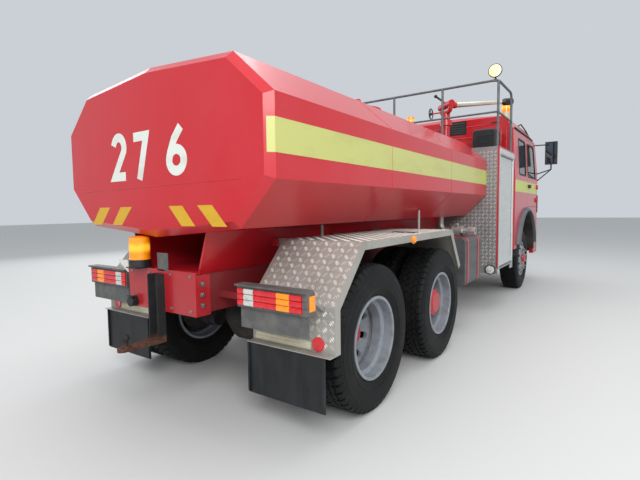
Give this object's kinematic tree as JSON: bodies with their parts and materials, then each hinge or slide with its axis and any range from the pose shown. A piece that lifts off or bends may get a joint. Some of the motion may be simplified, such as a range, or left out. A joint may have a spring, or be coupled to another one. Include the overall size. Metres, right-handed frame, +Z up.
{
  "type": "fire service water tanker truck",
  "caption": "Forward-control fire tanker lorry with a ridged water tank, equipment cabinet, roof water cannon, steering front wheels and driven twin rear wheels.",
  "frame": {"origin": "on the ground under the middle of the truck's box", "axes": "+X forward, +Y to the truck's left, +Z up"},
  "size_m": [8.268, 3.11, 3.3868],
  "materials": {
    "chassis_frame": "red chassis paint, worn",
    "rear_beam": "red paint",
    "tow_bracket": "black with rust",
    "tank_cradle": "red paint",
    "water_tank": "gloss red paint with yellow stripe",
    "tank_lid": "red paint",
    "outlet_pipe": "cast alloy",
    "mudguards": "tread plate",
    "mud_flaps": "black rubber",
    "tail_lamps": "grey housing with red, white and amber lenses",
    "amber_beacons": "amber dome on a plain base",
    "fuel_tank": "grey paint",
    "fuel_straps": "red paint",
    "air_tanks": "black paint",
    "silencer": "dull steel",
    "equipment_cabinet": "tread plate",
    "roller_shutters": "light grey slats",
    "guard_rail": "grey tube",
    "work_light": "round lamp",
    "cannon_base": "red paint",
    "cannon_elbow": "red paint",
    "cannon_barrel": "bare metal with a black nozzle",
    "intake_box": "black",
    "side_ladder": "steel tube",
    "cab_shell": "gloss red paint",
    "cab_doors": "gloss red paint",
    "glass": "clear glass",
    "bumper": "red paint",
    "headlamps": "clear lens",
    "grille": "black",
    "mirrors": "black housing",
    "seats": "dark cloth",
    "dashboard": "black",
    "arch_liners": "grey plastic",
    "engine": "grey",
    "drive_shafts": "black",
    "axles": "red paint, dirty",
    "leaf_springs": "dark spring steel",
    "knuckles": "cast",
    "track_rod": "black",
    "tyres": "black rubber",
    "rims": "silver paint, red hub"
  },
  "bodies": {
    "chassis": {"chassis_frame": "chassis_frame", "rear_beam": "rear_beam", "tow_bracket": "tow_bracket", "tank_cradle": "tank_cradle", "water_tank": "water_tank", "outlet_pipe": "outlet_pipe", "mudguards": "mudguards", "mud_flaps": "mud_flaps", "tail_lamps": "tail_lamps", "amber_beacons": "amber_beacons", "fuel_tank": "fuel_tank", "fuel_straps": "fuel_straps", "air_tanks": "air_tanks", "silencer": "silencer", "equipment_cabinet": "equipment_cabinet", "roller_shutters": "roller_shutters", "guard_rail": "guard_rail", "work_light": "work_light", "cannon_base": "cannon_base", "intake_box": "intake_box", "side_ladder": "side_ladder", "cab_shell": "cab_shell", "cab_glass": "glass", "bumper": "bumper", "headlamps": "headlamps", "grille": "grille", "mirrors": "mirrors", "seats": "seats", "dashboard": "dashboard", "arch_liners": "arch_liners", "engine": "engine", "drive_shafts": "drive_shafts", "rear_axles": "axles", "front_axle": "axles", "leaf_springs": "leaf_springs"},
    "knuckle_left": {"knuckle_left": "knuckles"},
    "knuckle_right": {"knuckle_right": "knuckles"},
    "track_rod": {"track_rod": "track_rod"},
    "front_wheel_left": {"front_tyre_left": "tyres", "front_rim_left": "rims"},
    "front_wheel_right": {"front_tyre_right": "tyres", "front_rim_right": "rims"},
    "door_left": {"cab_door_left": "cab_doors", "door_glass_left": "glass"},
    "door_right": {"cab_door_right": "cab_doors", "door_glass_right": "glass"},
    "tank_lid": {"tank_lid": "tank_lid"},
    "cannon_elbow": {"cannon_elbow": "cannon_elbow"},
    "cannon_barrel": {"cannon_barrel": "cannon_barrel"},
    "rear_wheels_left": {"rear_tyres_left": "tyres", "rear_rims_left": "rims"},
    "rear_wheels_right": {"rear_tyres_right": "tyres", "rear_rims_right": "rims"},
    "drive_wheels_left": {"drive_tyres_left": "tyres", "drive_rims_left": "rims"},
    "drive_wheels_right": {"drive_tyres_right": "tyres", "drive_rims_right": "rims"}
  },
  "joints": [
    {"name": "steering_right", "type": "hinge", "parent": "chassis", "child": "knuckle_right", "pos_m": [2.747, -0.86, 0.53], "axis": [0, 0, 1], "range_deg": [-36, 36]},
    {"name": "steering_left", "type": "hinge", "parent": "chassis", "child": "knuckle_left", "pos_m": [2.747, 0.86, 0.53], "axis": [0, 0, 1], "range_deg": [-36, 36]},
    {"name": "track_rod_pivot", "type": "hinge", "parent": "knuckle_right", "child": "track_rod", "pos_m": [2.487, -0.86, 0.4], "axis": [0, 0, 1], "range_deg": [-36, 36]},
    {"name": "front_wheel_left_spin", "type": "hinge", "parent": "knuckle_left", "child": "front_wheel_left", "pos_m": [2.747, 1.045, 0.53], "axis": [0, 1, 0], "continuous": true},
    {"name": "rear_wheels_left_spin", "type": "hinge", "parent": "chassis", "child": "rear_wheels_left", "pos_m": [-2.903, 0.919, 0.53], "axis": [0, 1, 0], "continuous": true},
    {"name": "drive_wheels_left_spin", "type": "hinge", "parent": "chassis", "child": "drive_wheels_left", "pos_m": [-1.553, 0.919, 0.53], "axis": [0, 1, 0], "continuous": true},
    {"name": "door_left_hinge", "type": "hinge", "parent": "chassis", "child": "door_left", "pos_m": [3.766, 1.258, 1.7], "axis": [0, 0, -1], "range_deg": [0, 72]},
    {"name": "front_wheel_right_spin", "type": "hinge", "parent": "knuckle_right", "child": "front_wheel_right", "pos_m": [2.747, -1.045, 0.53], "axis": [0, 1, 0], "continuous": true},
    {"name": "rear_wheels_right_spin", "type": "hinge", "parent": "chassis", "child": "rear_wheels_right", "pos_m": [-2.903, -0.919, 0.53], "axis": [0, 1, 0], "continuous": true},
    {"name": "drive_wheels_right_spin", "type": "hinge", "parent": "chassis", "child": "drive_wheels_right", "pos_m": [-1.553, -0.919, 0.53], "axis": [0, 1, 0], "continuous": true},
    {"name": "door_right_hinge", "type": "hinge", "parent": "chassis", "child": "door_right", "pos_m": [3.766, -1.258, 1.7], "axis": [0, 0, 1], "range_deg": [0, 72]},
    {"name": "tank_lid_hinge", "type": "hinge", "parent": "chassis", "child": "tank_lid", "pos_m": [-0.729, 0, 2.617], "axis": [0, 1, 0], "range_deg": [0, 110]},
    {"name": "cannon_turn", "type": "hinge", "parent": "chassis", "child": "cannon_elbow", "pos_m": [1.079, -0.35, 2.76], "axis": [0, 0, 1], "range_deg": [-5, 145]},
    {"name": "cannon_lift", "type": "hinge", "parent": "cannon_elbow", "child": "cannon_barrel", "pos_m": [1.079, -0.35, 3.03], "axis": [-0.7071, -0.7071, 0], "range_deg": [0, 75]}
  ],
  "couplings": [
    {"joint": "steering_left", "follows": "steering_right", "ratio": 1},
    {"joint": "track_rod_pivot", "follows": "steering_right", "ratio": -1}
  ]
}
